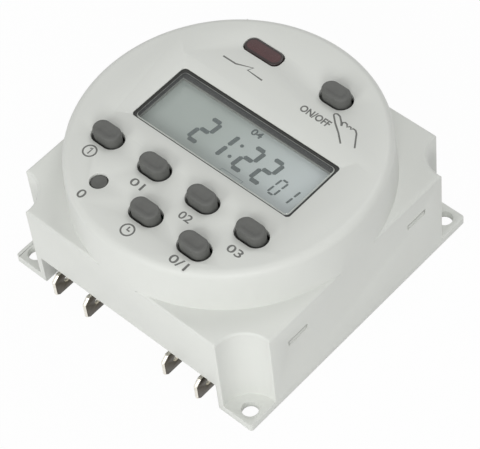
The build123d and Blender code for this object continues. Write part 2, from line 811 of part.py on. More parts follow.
with BuildPart() as relay_contact_leaf:
    with BuildSketch(Plane.YZ.offset(leaf_face)):
        with Locations((relay_y, (leaf_low + coil_z) / 2)):
            Rectangle(contact_leaf_width, coil_z - leaf_low)
    extrude(amount=contact_leaf_thickness)
    with BuildSketch(Plane.YZ.offset(leaf_face - contact_height)):
        with Locations((relay_y, contact_z)):
            Circle(contact_radius)
    extrude(amount=2 * contact_height + contact_leaf_thickness)
save(relay_contact_leaf.part, "relay_contact_leaf")

# A fixed contact is a pin through base and board, with its button on the side that meets the leaf
for name, pin_x, button_x in (
    ("relay_contact_open", open_pin_x, open_face - contact_height),
    ("relay_contact_closed", closed_pin_x, closed_face),
):
    with BuildPart() as fixed_contact:
        with BuildSketch(Plane((pin_x, relay_y, power_board_bottom - lead_tail))):
            Rectangle(pin_thickness, pin_width)
        extrude(amount=contact_z + contact_radius - power_board_bottom + lead_tail)
        with BuildSketch(Plane.YZ.offset(button_x)):
            with Locations((relay_y, contact_z)):
                Circle(contact_radius)
        extrude(amount=contact_height)
    save(fixed_contact.part, name)

with BuildPart() as relay_coil_pins:
    with BuildSketch(Plane.XY.offset(power_board_bottom - lead_tail)):
        with Locations(*coil_pin_places):
            Rectangle(pin_thickness, pin_width)
    extrude(amount=relay_floor - power_board_bottom + lead_tail)
save(relay_coil_pins.part, "relay_coil_pins")

with BuildPart() as dropper_capacitor:
    with BuildSketch(Plane.XY.offset(power_board_top)):
        with Locations((film_x, film_y)):
            RectangleRounded(film_length, film_thickness, film_round)
    extrude(amount=film_height)
    chamfer(dropper_capacitor.faces().sort_by(Axis.Z)[-1].edges(), film_bevel)
    with BuildSketch(Plane.XY.offset(power_board_bottom - lead_tail)):
        with Locations(*film_leads):
            Rectangle(lead_size, lead_size)
    extrude(amount=power_board_thickness + lead_tail)
save(dropper_capacitor.part, "dropper_capacitor")

with BuildPart() as smoothing_capacitor:
    with BuildSketch(Plane.XY.offset(power_board_top)):
        with Locations((smoothing_x, smoothing_y)):
            Circle(smoothing_radius)
    extrude(amount=smoothing_height)
    with BuildSketch(Plane.XY.offset(power_board_bottom - lead_tail)):
        with Locations(*smoothing_leads):
            Rectangle(lead_size, lead_size)
    extrude(amount=power_board_thickness + lead_tail)
save(smoothing_capacitor.part, "smoothing_capacitor")

with BuildPart() as surge_varistor:
    with BuildSketch(Plane.YZ.offset(varistor_x - varistor_thickness / 2)):
        with Locations((varistor_y, power_board_top + varistor_radius)):
            Circle(varistor_radius)
    extrude(amount=varistor_thickness)
    with BuildSketch(Plane.XY.offset(power_board_bottom - lead_tail)):
        with Locations(*varistor_leads):
            Rectangle(lead_size, lead_size)
    extrude(amount=power_board_thickness + lead_tail + varistor_radius / 2)
save(surge_varistor.part, "surge_varistor")


def build_axial(places, radius, length):
    """Cylindrical components lying along Y, each with a wire bent down through the board at both ends."""
    axis_z = power_board_top + radius + axial_lift
    span = length + 2 * axial_reach
    with BuildPart() as axial:
        for x, y in places:
            with BuildSketch(Plane.XZ.offset(-y - length / 2)):
                with Locations((x, axis_z)):
                    Circle(radius)
            extrude(amount=length)
            with BuildSketch(Plane.YZ.offset(x - lead_size / 2)):
                with BuildLine():
                    Polyline(
                        (y - span / 2, power_board_bottom - lead_tail),
                        (y - span / 2, axis_z + lead_size / 2),
                        (y + span / 2, axis_z + lead_size / 2),
                        (y + span / 2, power_board_bottom - lead_tail),
                        (y + span / 2 - lead_size, power_board_bottom - lead_tail),
                        (y + span / 2 - lead_size, axis_z - lead_size / 2),
                        (y - span / 2 + lead_size, axis_z - lead_size / 2),
                        (y - span / 2 + lead_size, power_board_bottom - lead_tail),
                        close=True,
                    )
                make_face()
            extrude(amount=lead_size)
    return axial.part


save(build_axial(diode_places, diode_radius, diode_length), "rectifier_diodes")
save(build_axial([(fuse_x, fuse_y)], fuse_radius, fuse_length), "fuse_resistor")

# Backup cell between two welded straps
with BuildPart() as backup_cell:
    with BuildSketch(Plane.XY.offset(power_board_top + cell_strap)):
        with Locations((cell_x, cell_y)):
            Circle(cell_radius)
    extrude(amount=cell_height)
save(backup_cell.part, "backup_cell")

strap_end = cell_x + cell_radius + cell_strap
with BuildPart() as cell_straps:
    with BuildSketch(Plane.XY.offset(power_board_top)):
        with Locations((cell_x - cell_radius / 2, cell_y)):
            Rectangle(cell_radius, cell_strap_width)
    extrude(amount=cell_strap)
    with BuildSketch(Plane.XZ.offset(-cell_y - cell_strap_width / 2)):
        with BuildLine():
            Polyline(
                (cell_x, power_board_top + cell_strap + cell_height),
                (strap_end, power_board_top + cell_strap + cell_height),
                (strap_end, power_board_top),
                (strap_end + cell_strap, power_board_top),
                (strap_end + cell_strap, power_board_top + 2 * cell_strap + cell_height),
                (cell_x, power_board_top + 2 * cell_strap + cell_height),
                close=True,
            )
        make_face()
    extrude(amount=cell_strap_width)
save(cell_straps.part, "cell_straps")

# Pin header that joins the two boards
with BuildPart() as link_header:
    with BuildSketch(Plane.XY.offset(power_board_top)):
        with Locations((header_x, header_y)):
            Rectangle(header_pins * header_spacing, header_width)
        with Locations(*header_places):
            Rectangle(lead_size, lead_size, mode=Mode.SUBTRACT)
    extrude(amount=header_height)
save(link_header.part, "link_header")

with BuildPart() as link_pins:
    with BuildSketch(Plane.XY.offset(power_board_bottom - lead_tail)):
        with Locations(*header_places):
            Rectangle(lead_size, lead_size)
    extrude(amount=display_board_top - power_board_bottom + 2 * lead_tail)
save(link_pins.part, "link_pins")
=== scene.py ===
"""Looks of a weekly digital timer switch: case, display, keys, printed marks, terminals, inner parts and studio.

Lengths in the classes are in millimetres and are turned into Blender's metres where a piece is made.
"""
from __future__ import annotations

import json
import logging
import math
from collections.abc import Callable, Iterable, Sequence
from dataclasses import dataclass, field, replace
from enum import Enum

import bmesh
import bpy
from mathutils import Matrix, Vector

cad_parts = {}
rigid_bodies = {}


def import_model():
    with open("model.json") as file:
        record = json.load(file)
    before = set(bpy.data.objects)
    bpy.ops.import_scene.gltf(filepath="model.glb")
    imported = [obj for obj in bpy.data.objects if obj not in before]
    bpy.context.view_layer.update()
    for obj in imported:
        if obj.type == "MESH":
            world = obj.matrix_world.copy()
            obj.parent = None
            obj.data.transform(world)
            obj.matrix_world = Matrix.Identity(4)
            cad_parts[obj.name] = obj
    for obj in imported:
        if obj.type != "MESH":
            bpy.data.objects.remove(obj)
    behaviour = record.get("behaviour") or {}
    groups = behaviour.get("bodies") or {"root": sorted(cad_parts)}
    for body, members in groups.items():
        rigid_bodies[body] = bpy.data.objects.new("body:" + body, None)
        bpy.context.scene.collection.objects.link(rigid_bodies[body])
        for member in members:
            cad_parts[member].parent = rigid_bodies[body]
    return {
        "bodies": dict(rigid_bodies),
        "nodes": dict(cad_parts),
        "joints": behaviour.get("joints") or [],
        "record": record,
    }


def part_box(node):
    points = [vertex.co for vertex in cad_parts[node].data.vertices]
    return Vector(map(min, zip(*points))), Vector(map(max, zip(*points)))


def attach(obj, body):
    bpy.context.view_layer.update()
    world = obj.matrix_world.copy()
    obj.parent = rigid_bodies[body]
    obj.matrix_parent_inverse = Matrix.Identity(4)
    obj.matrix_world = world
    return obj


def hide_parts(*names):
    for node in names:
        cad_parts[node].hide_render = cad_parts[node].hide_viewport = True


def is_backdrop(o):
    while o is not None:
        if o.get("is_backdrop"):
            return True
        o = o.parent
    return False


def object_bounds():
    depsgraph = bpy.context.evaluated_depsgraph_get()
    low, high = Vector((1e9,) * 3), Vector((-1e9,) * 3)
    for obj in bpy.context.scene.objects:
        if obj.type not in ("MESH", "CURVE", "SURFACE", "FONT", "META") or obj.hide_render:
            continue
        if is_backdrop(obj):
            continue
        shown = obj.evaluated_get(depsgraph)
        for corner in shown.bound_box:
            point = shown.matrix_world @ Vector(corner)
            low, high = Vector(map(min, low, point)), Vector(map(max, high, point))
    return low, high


LOG = logging.getLogger("timer_switch")
MM = 0.001
NOISE_LOW, NOISE_HIGH = 0.3, 0.7
"""Values between which a noise texture mostly stays."""
RELIEF_STRENGTH = 0.6
WELD = 1e-6
"""Distance under which vertices are welded, metres."""
FLAT_ANGLE = 0.4
"""Faces that meet flatter than this are merged, degrees."""
LEVEL_ROOM = 0.01
"""How far a vertex may lie off a level and still count as on it, mm."""
FACING = 0.9
"""A face looks along an axis when its normal has more than this share of it."""
EDGE_STEPS = 2
"""Steps across a rounded edge."""
LIT_SEGMENTS = {"0": "abcdef", "1": "bc", "2": "abged"}
"""Lit segments of each digit that the display shows."""
Point = tuple[float, float]


class Body(Enum):
    """Body that the visible fixed pieces ride on; each key has a body of its own."""

    CASE = "case"


class Key(Enum):
    """Push keys of the face, each named as its body."""

    PROGRAM = "key_program"
    DAY = "key_day"
    HOUR = "key_hour"
    MINUTE = "key_minute"
    CLOCK = "key_clock"
    RECALL = "key_recall"
    MANUAL = "key_manual"
    RESET = "key_reset"


def linear(colour: tuple[int, int, int]) -> tuple[float, float, float, float]:
    """Turn a display colour into the linear one that a shader takes.

    Args:
        colour: Red, green and blue from 0 to 255.

    Returns:
        Linear red, green and blue with full opacity.
    """
    parts = [c / 255 for c in colour]
    return (*[c / 12.92 if c <= 0.04045 else ((c + 0.055) / 1.055) ** 2.4 for c in parts], 1.0)


def set_inputs(node: bpy.types.Node, values: dict[str, object]) -> bpy.types.Node:
    """Set several inputs of a shader node.

    Args:
        node: The node.
        values: Their values, by name.

    Returns:
        The same node.
    """
    for name, value in values.items():
        node.inputs[name].default_value = value
    return node


@dataclass(frozen=True)
class Finish:
    """A surface with slow colour drift, a fine grain in relief and slightly uneven gloss.

    Attributes:
        colour: Display colour, 0 to 255.
        roughness: Middle roughness.
        metallic: 1 for bare metal.
        drift: How far the colour drifts either way, as a share.
        drift_size: Size of a patch of drift, mm.
        grain_size: Size of a grain, mm.
        grain_depth: Height of the grain, mm.
        gloss_spread: How far the roughness drifts either way.
        coat: Weight of a clear coat.
        alpha: Opacity.
        transmission: Share of light that passes through.
        stretch: Stretch of the grain along X, Y and Z, for brushed and wound surfaces.
        painted_reflection_colour: Colour reached along X, 0 to 255, a painted reflection. It imitates the uneven shine
            of the photographed display.
        painted_reflection_span: Where that painted reflection starts and ends, mm.
    """

    colour: tuple[int, int, int]
    roughness: float
    metallic: float = 0.0
    drift: float = 0.03
    drift_size: float = 9.0
    grain_size: float = 0.3
    grain_depth: float = 0.004
    gloss_spread: float = 0.05
    coat: float = 0.0
    alpha: float = 1.0
    transmission: float = 0.0
    stretch: tuple[float, float, float] = (1.0, 1.0, 1.0)
    painted_reflection_colour: tuple[int, int, int] | None = None
    painted_reflection_span: tuple[float, float] = (-18.0, 18.0)

    def material(self, name: str) -> bpy.types.Material:
        """Build the node material.

        Args:
            name: Name of the material.

        Returns:
            The new material.
        """
        material = bpy.data.materials.new(name)
        material.use_nodes = True
        nodes = material.node_tree.nodes
        link = material.node_tree.links.new
        place = nodes.new("ShaderNodeTexCoord")
        turn = set_inputs(nodes.new("ShaderNodeMapping"), {"Scale": self.stretch})
        link(place.outputs["Object"], turn.inputs["Vector"])
        drift = set_inputs(nodes.new("ShaderNodeTexNoise"), {"Scale": 1 / (self.drift_size * MM), "Detail": 3.0})
        grain = set_inputs(nodes.new("ShaderNodeTexNoise"), {"Scale": 1 / (self.grain_size * MM), "Detail": 2.0})
        link(place.outputs["Object"], drift.inputs["Vector"])
        link(turn.outputs["Vector"], grain.inputs["Vector"])
        ramp = nodes.new("ShaderNodeValToRGB")
        low, high = ramp.color_ramp.elements
        low.position, high.position = NOISE_LOW, NOISE_HIGH
        base = linear(self.colour)[:3]
        low.color = (*[c * (1 - self.drift) for c in base], 1.0)
        high.color = (*[min(c * (1 + self.drift), 1.0) for c in base], 1.0)
        link(drift.outputs["Fac"], ramp.inputs["Fac"])
        # Where a painted reflection is set, the colour grows lighter along X.
        tint = self._paint_reflection(nodes, link, place, ramp) if self.painted_reflection_colour else ramp.outputs["Color"]
        gloss = set_inputs(nodes.new("ShaderNodeMapRange"), {
            "From Min": NOISE_LOW,
            "From Max": NOISE_HIGH,
            "To Min": max(self.roughness - self.gloss_spread, 0.0),
            "To Max": min(self.roughness + self.gloss_spread, 1.0),
        })
        link(grain.outputs["Fac"], gloss.inputs["Value"])
        depth = self.grain_depth * MM
        relief = set_inputs(nodes.new("ShaderNodeBump"), {"Strength": RELIEF_STRENGTH, "Distance": depth})
        link(grain.outputs["Fac"], relief.inputs["Height"])
        shader = set_inputs(nodes["Principled BSDF"], {
            "Metallic": self.metallic,
            "Coat Weight": self.coat,
            "Alpha": self.alpha,
            "Transmission Weight": self.transmission,
        })
        link(tint, shader.inputs["Base Color"])
        link(gloss.outputs["Result"], shader.inputs["Roughness"])
        link(relief.outputs["Normal"], shader.inputs["Normal"])
        return material

    def _paint_reflection(
        self, nodes: bpy.types.Nodes, link: Callable, place: bpy.types.Node, ramp: bpy.types.Node
    ) -> bpy.types.NodeSocket:
        """Paint a reflection: fade the colour to the painted reflection colour along X.

        Args:
            nodes: The material's nodes.
            link: The function that links two sockets.
            place: The texture coordinate node.
            ramp: The node that gives the near colour.

        Returns:
            The socket that carries the faded colour.
        """
        axes = nodes.new("ShaderNodeSeparateXYZ")
        link(place.outputs["Object"], axes.inputs["Vector"])
        start, end = (x * MM for x in self.painted_reflection_span)
        share = set_inputs(nodes.new("ShaderNodeMapRange"), {"From Min": start, "From Max": end})
        link(axes.outputs["X"], share.inputs["Value"])
        blend = set_inputs(nodes.new("ShaderNodeMixRGB"), {"Color2": linear(self.painted_reflection_colour)})
        link(share.outputs["Result"], blend.inputs["Fac"])
        link(ramp.outputs["Color"], blend.inputs["Color1"])
        return blend.outputs["Color"]


FINISHES: dict[str, Finish] = {
    "case_plastic": Finish((216, 218, 213), 0.46, drift=0.012, drift_size=14.0, grain_size=0.16, grain_depth=0.003),
    "cover_plastic": Finish((208, 210, 205), 0.5, drift=0.015, grain_size=0.2),
    "window_plastic": Finish((236, 240, 240), 0.04, drift=0.0, gloss_spread=0.01, grain_depth=0.0005, alpha=0.07),
    "lens_plastic": Finish((68, 34, 35), 0.25, drift=0.12, drift_size=3.0, grain_depth=0.001, coat=0.2),
    # The lens's outer band is darker, as painted shade of its rim.
    "lens_rim_painted_shade": Finish((38, 24, 24), 0.3, drift=0.1, drift_size=2.0, grain_depth=0.001),
    "key_plastic": Finish((92, 93, 90), 0.62, drift=0.05, drift_size=2.0, grain_size=0.12, grain_depth=0.006),
    "reset_plastic": Finish((86, 87, 84), 0.62, drift=0.05, drift_size=2.0, grain_size=0.12, grain_depth=0.006),
    "switch_plastic": Finish((40, 40, 42), 0.55, drift=0.06, drift_size=2.0),
    "plunger_plastic": Finish((168, 138, 96), 0.5, drift=0.05, drift_size=2.0),
    "board_laminate": Finish((36, 92, 58), 0.35, drift=0.08, drift_size=5.0, grain_size=0.5, coat=0.4),
    "screw_steel": Finish((176, 178, 180), 0.32, metallic=1.0, drift=0.05, drift_size=1.0, grain_size=0.1),
    "display_frame": Finish((30, 31, 28), 0.5, drift=0.05, drift_size=3.0),
    # The frame's inner walls take this grey and its top is black: painted shade of the recess round the display.
    "frame_wall_painted_shade": Finish((120, 123, 116), 0.45, drift=0.05, drift_size=3.0),
    # A painted glint for the slope round the pane's raised middle.
    "pane_edge_painted_glint": Finish((186, 190, 184), 0.3, drift=0.04, drift_size=2.0, grain_depth=0.001),
    # The display glass carries a painted reflection that grows lighter towards +X.
    "display_glass": Finish((163, 173, 167), 0.14, drift=0.02, drift_size=12.0, grain_depth=0.0004,
                            gloss_spread=0.02, painted_reflection_colour=(198, 207, 207), painted_reflection_span=(-6.0, 18.0)),
    "display_reflector": Finish((190, 196, 190), 0.4),
    "display_pad": Finish((60, 60, 62), 0.85, drift=0.08, drift_size=1.0, grain_size=0.2, grain_depth=0.02),
    "contact_rubber": Finish((205, 150, 170), 0.75, drift=0.08, drift_size=0.4, stretch=(6.0, 1.0, 1.0)),
    "chip_epoxy": Finish((38, 38, 40), 0.6, drift=0.08, drift_size=2.0, grain_size=0.1, grain_depth=0.008),
    "crystal_can": Finish((186, 188, 190), 0.25, metallic=1.0, drift=0.04, drift_size=2.0, grain_size=0.2),
    "led_epoxy": Finish((170, 32, 30), 0.12, drift=0.06, drift_size=1.5, transmission=0.4, coat=0.3),
    # The blade metal is darker than the bare metal is, a painted dark reflection.
    "tab_metal": Finish((78, 73, 64), 0.38, metallic=1.0, drift=0.22, drift_size=1.6, grain_size=0.12),
    "relay_shell": Finish((44, 62, 108), 0.35, drift=0.05, drift_size=5.0),
    "relay_base_plastic": Finish((42, 44, 48), 0.5, drift=0.05, drift_size=3.0),
    "bobbin_plastic": Finish((206, 202, 190), 0.5, drift=0.04, drift_size=3.0),
    "winding_copper": Finish((168, 84, 44), 0.32, metallic=1.0, drift=0.1, drift_size=0.8, grain_size=0.1,
                             grain_depth=0.03, stretch=(12.0, 0.4, 0.4)),
    "soft_iron": Finish((150, 150, 148), 0.38, metallic=1.0, drift=0.08, drift_size=2.0),
    "contact_metal": Finish((196, 186, 156), 0.28, metallic=1.0, drift=0.06, drift_size=0.8),
    "lead_metal": Finish((188, 190, 190), 0.3, metallic=1.0, drift=0.05, drift_size=1.0),
    "film_capacitor_case": Finish((196, 66, 40), 0.4, drift=0.05, drift_size=4.0),
    "can_sleeve": Finish((34, 38, 66), 0.3, drift=0.06, drift_size=4.0, coat=0.2),
    "varistor_coat": Finish((44, 84, 150), 0.42, drift=0.08, drift_size=2.0, grain_size=0.5, grain_depth=0.03),
    "diode_epoxy": Finish((34, 34, 36), 0.5, drift=0.06, drift_size=1.0),
    "resistor_coat": Finish((176, 160, 128), 0.55, drift=0.08, drift_size=1.0),
    "cell_sleeve": Finish((44, 116, 84), 0.35, drift=0.05, drift_size=3.0, coat=0.2),
    "strap_nickel": Finish((182, 180, 172), 0.34, metallic=1.0, drift=0.06, drift_size=1.0),
    "header_plastic": Finish((36, 36, 38), 0.5, drift=0.05, drift_size=2.0),
    "print_grey": Finish((108, 109, 106), 0.7, drift=0.06, drift_size=0.8, grain_size=0.1, grain_depth=0.002),
    "segment_dark": Finish((52, 67, 65), 0.4, drift=0.08, drift_size=1.2, grain_depth=0.0005),
    "segment_faint": Finish((120, 132, 129), 0.4, drift=0.05, drift_size=1.2, grain_depth=0.0005),
    # A painted highlight for the blades' edges.
    "blade_edge_painted_highlight": Finish((232, 228, 218), 0.3, metallic=1.0, drift=0.12, drift_size=0.7, grain_size=0.1),
}


@dataclass
class Workshop:
    """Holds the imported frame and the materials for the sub-assemblies.

    Attributes:
        frame: What the frame loader returned.
        materials: Materials already made, by finish name.
    """

    frame: dict
    materials: dict[str, bpy.types.Material] = field(default_factory=dict)

    def material(self, name: str) -> bpy.types.Material:
        """Return the material of a finish, made on first use."""
        if name not in self.materials:
            self.materials[name] = FINISHES[name].material(name)
        return self.materials[name]

    def seat(self, piece: bpy.types.Object, finish: str, body: str = Body.CASE.value) -> None:
        """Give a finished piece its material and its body.

        Args:
            piece: The finished piece.
            finish: Name of its finish.
            body: Name of the body that it rides on.
        """
        if not piece.data.materials:
            piece.data.materials.append(self.material(finish))
        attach(piece, body)
        LOG.info("%s rides on %s, %d faces", piece.name, body, len(piece.data.polygons))

    def paint(
        self, piece: bpy.types.Object, finishes: Sequence[str], choose: Callable[[bpy.types.MeshPolygon], int]
    ) -> None:
        """Give a piece several finishes.

        Args:
            piece: The piece in object mode, without materials.
            finishes: Names of its finishes.
            choose: Number of the finish for a face.
        """
        for finish in finishes:
            piece.data.materials.append(self.material(finish))
        for face in piece.data.polygons:
            face.material_index = choose(face)

    def copy_node(self, node: str, name: str) -> bpy.types.Object:
        """Copy a CAD node as one welded mesh without the triangles' inner edges.

        Args:
            node: Name of the CAD node.
            name: Name of the copy.

        Returns:
            The copy, in object mode.
        """
        piece = add_object(name, self.frame["nodes"][node].data.copy())
        piece.data.materials.clear()
        hold(piece)
        bpy.ops.mesh.customdata_custom_splitnormals_clear()
        bpy.ops.object.mode_set(mode="EDIT")
        bpy.ops.mesh.select_all(action="SELECT")
        bpy.ops.mesh.remove_doubles(threshold=WELD)
        bpy.ops.mesh.dissolve_limited(angle_limit=math.radians(FLAT_ANGLE))
        bpy.ops.object.mode_set(mode="OBJECT")
        return piece


def add_object(name: str, data: bpy.types.ID) -> bpy.types.Object:
    """Put a new object with some data in the scene and return it."""
    piece = bpy.data.objects.new(name, data)
    bpy.context.scene.collection.objects.link(piece)
    return piece


def hold(piece: bpy.types.Object) -> None:
    """Select one object alone and make it active."""
    for other in list(bpy.context.selected_objects):
        other.select_set(False)
    piece.select_set(True)
    bpy.context.view_layer.objects.active = piece


def name_active(name: str) -> bpy.types.Object:
    """Name the object that an operator has just made, and its mesh, and return it."""
    piece = bpy.context.active_object
    piece.name = name
    piece.data.name = name
    return piece


def pick_faces(piece: bpy.types.Object, wanted: Callable[[bmesh.types.BMFace], bool]) -> None:
    """Select the faces of a piece in edit mode by a test.

    Args:
        piece: The piece in edit mode.
        wanted: True for a face to select.
    """
    bpy.ops.mesh.select_mode(type="FACE")
    mesh = bmesh.from_edit_mesh(piece.data)
    for face in mesh.faces:
        face.select_set(wanted(face))
    bmesh.update_edit_mesh(piece.data)


def pick_vertices(piece: bpy.types.Object, wanted: Callable[[Vector], bool]) -> None:
    """Select the vertices of a piece in edit mode by their place.

    Args:
        piece: The piece in edit mode.
        wanted: True for a place to select.
    """
    bpy.ops.mesh.select_mode(type="VERT")
    mesh = bmesh.from_edit_mesh(piece.data)
    for vertex in mesh.verts:
        vertex.select_set(wanted(vertex.co))
    mesh.select_flush(True)
    bmesh.update_edit_mesh(piece.data)


def soften(piece: bpy.types.Object, width: float, angle: float = 30.0) -> None:
    """Round the sharp edges of a piece and shade it smooth between them.

    Args:
        piece: The piece in object mode.
        width: Width of the rounding, mm.
        angle: Edges sharper than this are rounded, degrees.
    """
    hold(piece)
    bevel = piece.modifiers.new("edges", "BEVEL")
    bevel.width = width * MM
    bevel.segments = EDGE_STEPS
    bevel.limit_method = "ANGLE"
    bevel.angle_limit = math.radians(angle)
    bevel.use_clamp_overlap = False
    bpy.ops.object.modifier_apply(modifier="edges")
    bpy.ops.object.shade_smooth_by_angle(angle=math.radians(angle))


def settle(piece: bpy.types.Object) -> bpy.types.Object:
    """Put an object's place, turn and size into its mesh, and return it."""
    hold(piece)
    bpy.ops.object.transform_apply(location=True, rotation=True, scale=True)
    return piece


def size_of(piece: bpy.types.Object) -> tuple[Vector, Vector]:
    """Return the lowest and highest corner of a piece's mesh."""
    axes = list(zip(*(vertex.co for vertex in piece.data.vertices)))
    return Vector([min(axis) for axis in axes]), Vector([max(axis) for axis in axes])


def join(pieces: Sequence[bpy.types.Object], name: str) -> bpy.types.Object:
    """Join several pieces into one.

    Args:
        pieces: The pieces, all at the origin.
        name: Name of the joined piece.

    Returns:
        The joined piece.
    """
    hold(pieces[0])
    for piece in pieces[1:]:
        piece.select_set(True)
    bpy.ops.object.join()
    return name_active(name)


@dataclass
class CaseShell:
    """The moulded front housing with its soft moulded edges.

    Attributes:
        edge_round: Radius of the small moulded edges, mm.
    """

    edge_round: float = 0.12

    def build(self, shop: Workshop) -> None:
        """Make the welded shell with rounded edges, held inside its node's box, in place of the node.

        Args:
            shop: The workshop.
        """
        shell = shop.copy_node("front_housing", "case_shell")
        low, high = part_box("front_housing")
        soften(shell, self.edge_round)
        for vertex in shell.data.vertices:
            vertex.co = [min(max(place, least), most) for place, least, most in zip(vertex.co, low, high)]
        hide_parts("front_housing")
        shop.seat(shell, "case_plastic")


@dataclass
class RoundEndedPiece:
    """A plug with a straight-sided, round-ended outline, a rounded rim and a dished crown.

    Attributes:
        sides: Vertices round the outline.
        rim_round: Radius of the rim, mm.
        rim_steps: Steps across the rim.
        dish_depth: Depth of the dish, mm.
        dish_steps: Steps from the rim to the middle of the dish.
        dish_reach: How far the dish runs in from the rim, as a share of half the width.
        foot_round: Width of the foot's broken edges, mm.
        smooth_angle: Faces that meet flatter than this are shaded as one, degrees.
    """

    sides: int = 64
    rim_round: float = 0.45
    rim_steps: int = 4
    dish_depth: float = 0.3
    dish_steps: int = 6
    dish_reach: float = 0.8
    foot_round: float = 0.1
    smooth_angle: float = 40.0

    def model(self, name: str, low: Vector, high: Vector, foot_top: float, foot_reach: float) -> bpy.types.Object:
        """Model the plug in a box, with a foot that is longer than its crown.

        Args:
            name: Name of the piece.
            low: Lowest corner of the box, metres.
            high: Highest corner of the box, metres.
            foot_top: Height of the top of the foot, metres.
            foot_reach: How far the foot stands out past each end of the crown, metres.

        Returns:
            The finished piece.
        """
        middle = (low + high) / 2
        width = high.y - low.y
        if foot_reach * 2 < width and abs((high.x - low.x) - width) < WELD:
            width -= 2 * foot_reach  # a round piece's foot stands out all round
        straight = (high.x - low.x) / 2 - foot_reach - width / 2
        bpy.ops.mesh.primitive_cylinder_add(
            vertices=self.sides,
            radius=width / 2,
            depth=high.z - low.z,
            location=middle,
            rotation=(0, 0, math.pi / self.sides),
        )
        crown = settle(name_active(name))
        bpy.ops.object.mode_set(mode="EDIT")
        for side in (-1, 1):
            pick_vertices(crown, lambda place: (place.x - middle.x) * side > 0)
            bpy.ops.transform.translate(value=(side * straight, 0, 0))
        pick_faces(crown, lambda face: face.normal.z > FACING)
        bpy.ops.mesh.bevel(offset=self.rim_round * MM, segments=self.rim_steps, affect="EDGES")
        pick_faces(crown, lambda face: face.normal.z > FACING and len(face.verts) > 8)
        reach = (width / 2 - self.rim_round * MM) * self.dish_reach
        for step in range(self.dish_steps):
            start = step / self.dish_steps
            end = (step + 1) / self.dish_steps
            drop = (math.cos(math.pi * end) - math.cos(math.pi * start)) / 2 * self.dish_depth * MM
            bpy.ops.mesh.inset(thickness=reach / self.dish_steps)
            bpy.ops.transform.translate(value=(0, 0, drop))
        bpy.ops.object.mode_set(mode="OBJECT")
        piece = join([crown, self._foot(low, high, foot_top)], name)
        bpy.ops.object.shade_smooth_by_angle(angle=math.radians(self.smooth_angle))
        return piece

    def _foot(self, low: Vector, high: Vector, foot_top: float) -> bpy.types.Object:
        """Model the foot that keeps the piece behind the face.

        Args:
            low: Lowest corner of the piece.
            high: Highest corner of the piece.
            foot_top: Height of the top of the foot.

        Returns:
            The foot.
        """
        middle = Vector(((low.x + high.x) / 2, (low.y + high.y) / 2, (low.z + foot_top) / 2))
        bpy.ops.mesh.primitive_cube_add(size=1, location=middle)
        foot = name_active("foot")
        foot.scale = (high.x - low.x, high.y - low.y, foot_top - low.z)
        settle(foot)
        bpy.ops.object.mode_set(mode="EDIT")
        bpy.ops.mesh.select_all(action="SELECT")
        bpy.ops.mesh.bevel(offset=self.foot_round * MM, segments=EDGE_STEPS, affect="EDGES")
        bpy.ops.object.mode_set(mode="OBJECT")
        return foot


@dataclass
class KeyPanel:
    """The eight keys and the indicator lens.

    Attributes:
        foot_height: Height of the foot under the face, mm.
        foot_reach: How far the foot stands out past the crown, mm.
        painted_shade_band: Width of the band of painted shade round the lens's edge, mm.
        long_key: Form of the seven long keys.
        small_key: Form of the reset key.
        lens: Form of the indicator lens.
    """

    foot_height: float = 0.8
    foot_reach: float = 1.0
    painted_shade_band: float = 0.45
    long_key: RoundEndedPiece = field(default_factory=RoundEndedPiece)
    small_key: RoundEndedPiece = field(
        default_factory=lambda: RoundEndedPiece(sides=48, rim_round=0.2, dish_depth=0.2, dish_reach=0.9)
    )
    lens: RoundEndedPiece = field(
        default_factory=lambda: RoundEndedPiece(rim_round=0.25, dish_depth=-0.06, dish_reach=0.9)
    )

    def build(self, shop: Workshop) -> None:
        """Model every key and the lens in place of their nodes.

        Args:
            shop: The workshop.
        """
        for key in Key:
            form = self.small_key if key is Key.RESET else self.long_key
            slot = "reset_plastic" if key is Key.RESET else "key_plastic"
            self._make(shop, form, key.value, key.value, slot)
        self._make(shop, self.lens, "indicator_lens", Body.CASE.value, "lens_plastic")

    def _make(self, shop: Workshop, form: RoundEndedPiece, node: str, body: str, slot: str) -> None:
        """Model one piece in the box of its node.

        Args:
            shop: The workshop.
            form: Its form.
            node: The node that it replaces.
            body: The body that it rides on.
            slot: Its material slot and finish.
        """
        low, high = (Vector(corner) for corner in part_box(node))
        foot_top = low.z + self.foot_height * MM
        piece = form.model(f"{node}_crown", low, high, foot_top, self.foot_reach * MM)
        if form is self.lens:
            # The band round the lens's edge is painted darker, as painted shade.
            shop.paint(piece, ("lens_plastic", "lens_rim_painted_shade"), lambda face: self._in_painted_shade(face.center, low, high))
        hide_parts(node)
        shop.seat(piece, slot, body)

    def _in_painted_shade(self, place: Vector, low: Vector, high: Vector) -> int:
        """Return 1 for a place in the band of painted shade round the lens, else 0."""
        reach = (high.y - low.y) / 2
        straight = (high.x - low.x) / 2 - self.foot_reach * MM - reach
        away = place - (low + high) / 2
        return int(math.hypot(max(abs(away.x) - straight, 0.0), away.y) > reach - self.painted_shade_band * MM)


